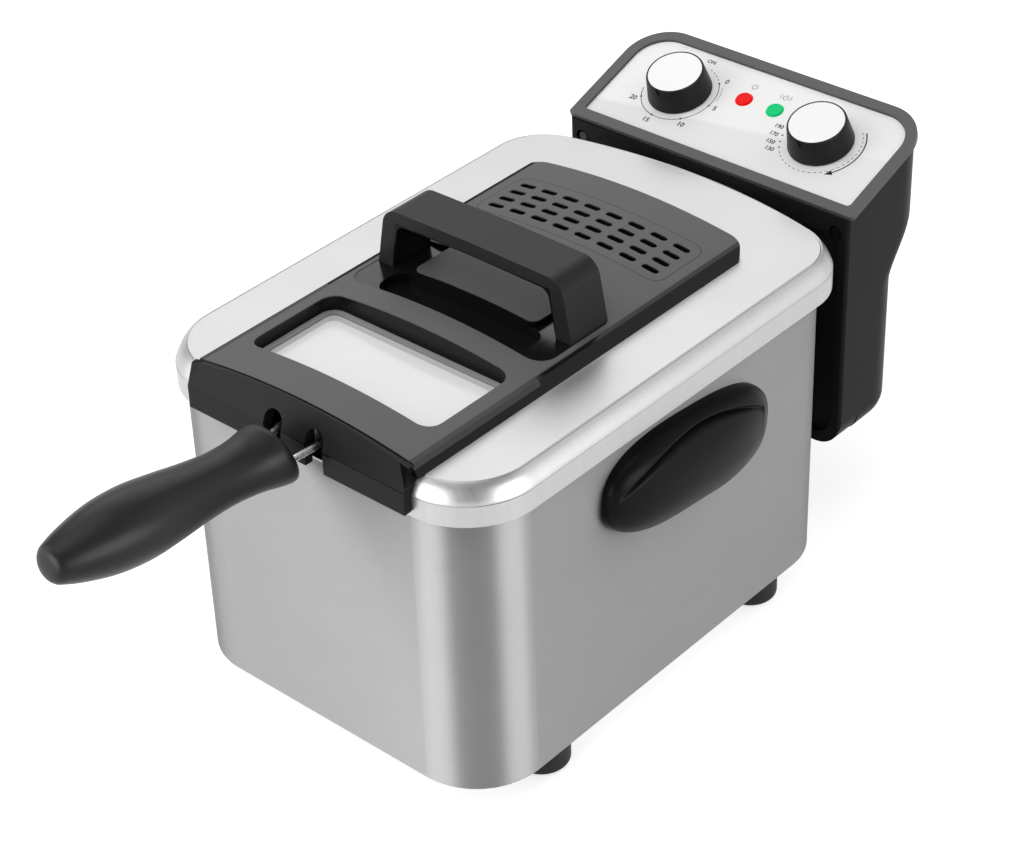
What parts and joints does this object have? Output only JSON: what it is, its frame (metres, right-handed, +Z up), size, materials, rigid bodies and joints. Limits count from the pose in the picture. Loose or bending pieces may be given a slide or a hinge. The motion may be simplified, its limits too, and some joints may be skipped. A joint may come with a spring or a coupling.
{
  "type": "deep fryer",
  "caption": "Steel household deep fryer with a windowed lid, mesh basket on a long handle, lift-out pot and a lift-off head with timer and thermostat knobs.",
  "frame": {"origin": "centre of the bounding box at the bottom of the feet", "axes": "+X to the right seen from the front, -Y to the front where the basket handle comes out, +Z up"},
  "size_m": [0.234, 0.5091, 0.2256],
  "materials": {
    "housing_steel": "fine vertical brushing, satin",
    "lid_steel": "fine brushing along the length, satin",
    "pot_steel": "drawn, bright satin",
    "steel_parts": "zinc-plated or plain sheet",
    "chrome_wire": "bright plated wire",
    "black_plastic": "fine satin texture",
    "gloss_black": "polished",
    "lid_plastic": "fine satin texture",
    "panel_grey": "satin",
    "fascia_white": "screen-printed, semi-gloss",
    "cap_silver": "silver-white foil",
    "rubber": "matt",
    "gasket": "matt silicone",
    "window_glass": "clear",
    "element_steel": "heat-tinted sheath",
    "copper": "dull",
    "switch_body": "moulded",
    "ceramic": "unglazed",
    "lamp_orange": "neon lamp",
    "red_lens": "translucent",
    "green_lens": "translucent",
    "red_plastic": "moulded",
    "wire_red": "insulation",
    "filter": "felt"
  },
  "bodies": {
    "housing": {"housing_shell": "housing_steel", "base_plate": "steel_parts", "foot_front_left": "rubber", "foot_front_right": "rubber", "foot_rear_left": "rubber", "foot_rear_right": "rubber", "side_handle_left": "black_plastic", "side_handle_right": "black_plastic", "housing_screws": "steel_parts", "rear_guide": "black_plastic"},
    "pot": {"oil_pot": "pot_steel"},
    "control_unit": {"head_front_cover": "black_plastic", "head_rear_cover": "black_plastic", "panel_frame": "panel_grey", "fascia_plate": "fascia_white", "mounting_tongue": "black_plastic", "element_bracket": "steel_parts", "heating_element": "element_steel", "sensor_bulb": "copper", "capillary_tube": "copper", "thermostat_unit": "switch_body", "timer_unit": "switch_body", "red_lens": "red_lens", "green_lens": "green_lens", "pilot_lamps": "lamp_orange", "interlock_switch": "black_plastic", "thermal_cutout": "black_plastic", "terminal_block": "ceramic", "cord_inlet": "rubber", "wiring": "wire_red", "head_screws": "steel_parts"},
    "plunger": {"interlock_plunger": "red_plastic"},
    "reset": {"reset_button": "red_plastic"},
    "timer": {"timer_knob": "black_plastic", "timer_knob_cap": "cap_silver"},
    "thermostat": {"thermostat_knob": "black_plastic", "thermostat_knob_cap": "cap_silver"},
    "basket": {"basket_floor_mesh": "chrome_wire", "basket_front_mesh": "chrome_wire", "basket_rear_mesh": "chrome_wire", "basket_left_mesh": "chrome_wire", "basket_right_mesh": "chrome_wire", "basket_frame": "chrome_wire", "handle_bracket": "steel_parts", "drain_hook": "steel_parts"},
    "basket_handle": {"handle_wire": "chrome_wire", "handle_grip": "black_plastic"},
    "lid": {"lid_shell": "lid_steel", "lid_insert": "lid_plastic", "lid_front_trim": "lid_plastic", "handle_base": "gloss_black", "handle_arch": "lid_plastic", "window_pane": "window_glass", "window_gasket": "gasket", "lid_liner": "steel_parts", "filter_mat": "filter", "filter_cover": "black_plastic", "lid_screws": "steel_parts"}
  },
  "joints": [
    {"name": "pot_lift", "type": "slide", "parent": "housing", "child": "pot", "axis": [0, 0, 1], "range_m": [0, 0.2]},
    {"name": "control_unit_lift", "type": "slide", "parent": "pot", "child": "control_unit", "axis": [0, 0, 1], "range_m": [0, 0.2]},
    {"name": "basket_lift", "type": "slide", "parent": "control_unit", "child": "basket", "axis": [0, 0, 1], "range_m": [0, 0.2]},
    {"name": "lid_lift", "type": "slide", "parent": "basket", "child": "lid", "axis": [0, 0, 1], "range_m": [0, 0.25]},
    {"name": "basket_handle_play", "type": "hinge", "parent": "basket", "child": "basket_handle", "pos_m": [0, -0.08546, 0.15], "axis": [-1, 0, 0], "range_deg": [0, 5]},
    {"name": "timer_turn", "type": "hinge", "parent": "control_unit", "child": "timer", "pos_m": [-0.045, 0.21974, 0.20233], "axis": [0, -0.3256, 0.9455], "range_deg": [-56, 175]},
    {"name": "thermostat_turn", "type": "hinge", "parent": "control_unit", "child": "thermostat", "pos_m": [0.045, 0.21974, 0.20233], "axis": [0, -0.3256, 0.9455], "range_deg": [-91, 135]},
    {"name": "interlock_press", "type": "slide", "parent": "control_unit", "child": "plunger", "axis": [0, 0, 1], "range_m": [0, 0.002], "stiffness_N_per_m": 150, "springref_m": -0.001},
    {"name": "reset_press", "type": "slide", "parent": "control_unit", "child": "reset", "axis": [0, -1, 0], "range_m": [0, 0.002], "stiffness_N_per_m": 300, "springref_m": -0.001}
  ]
}
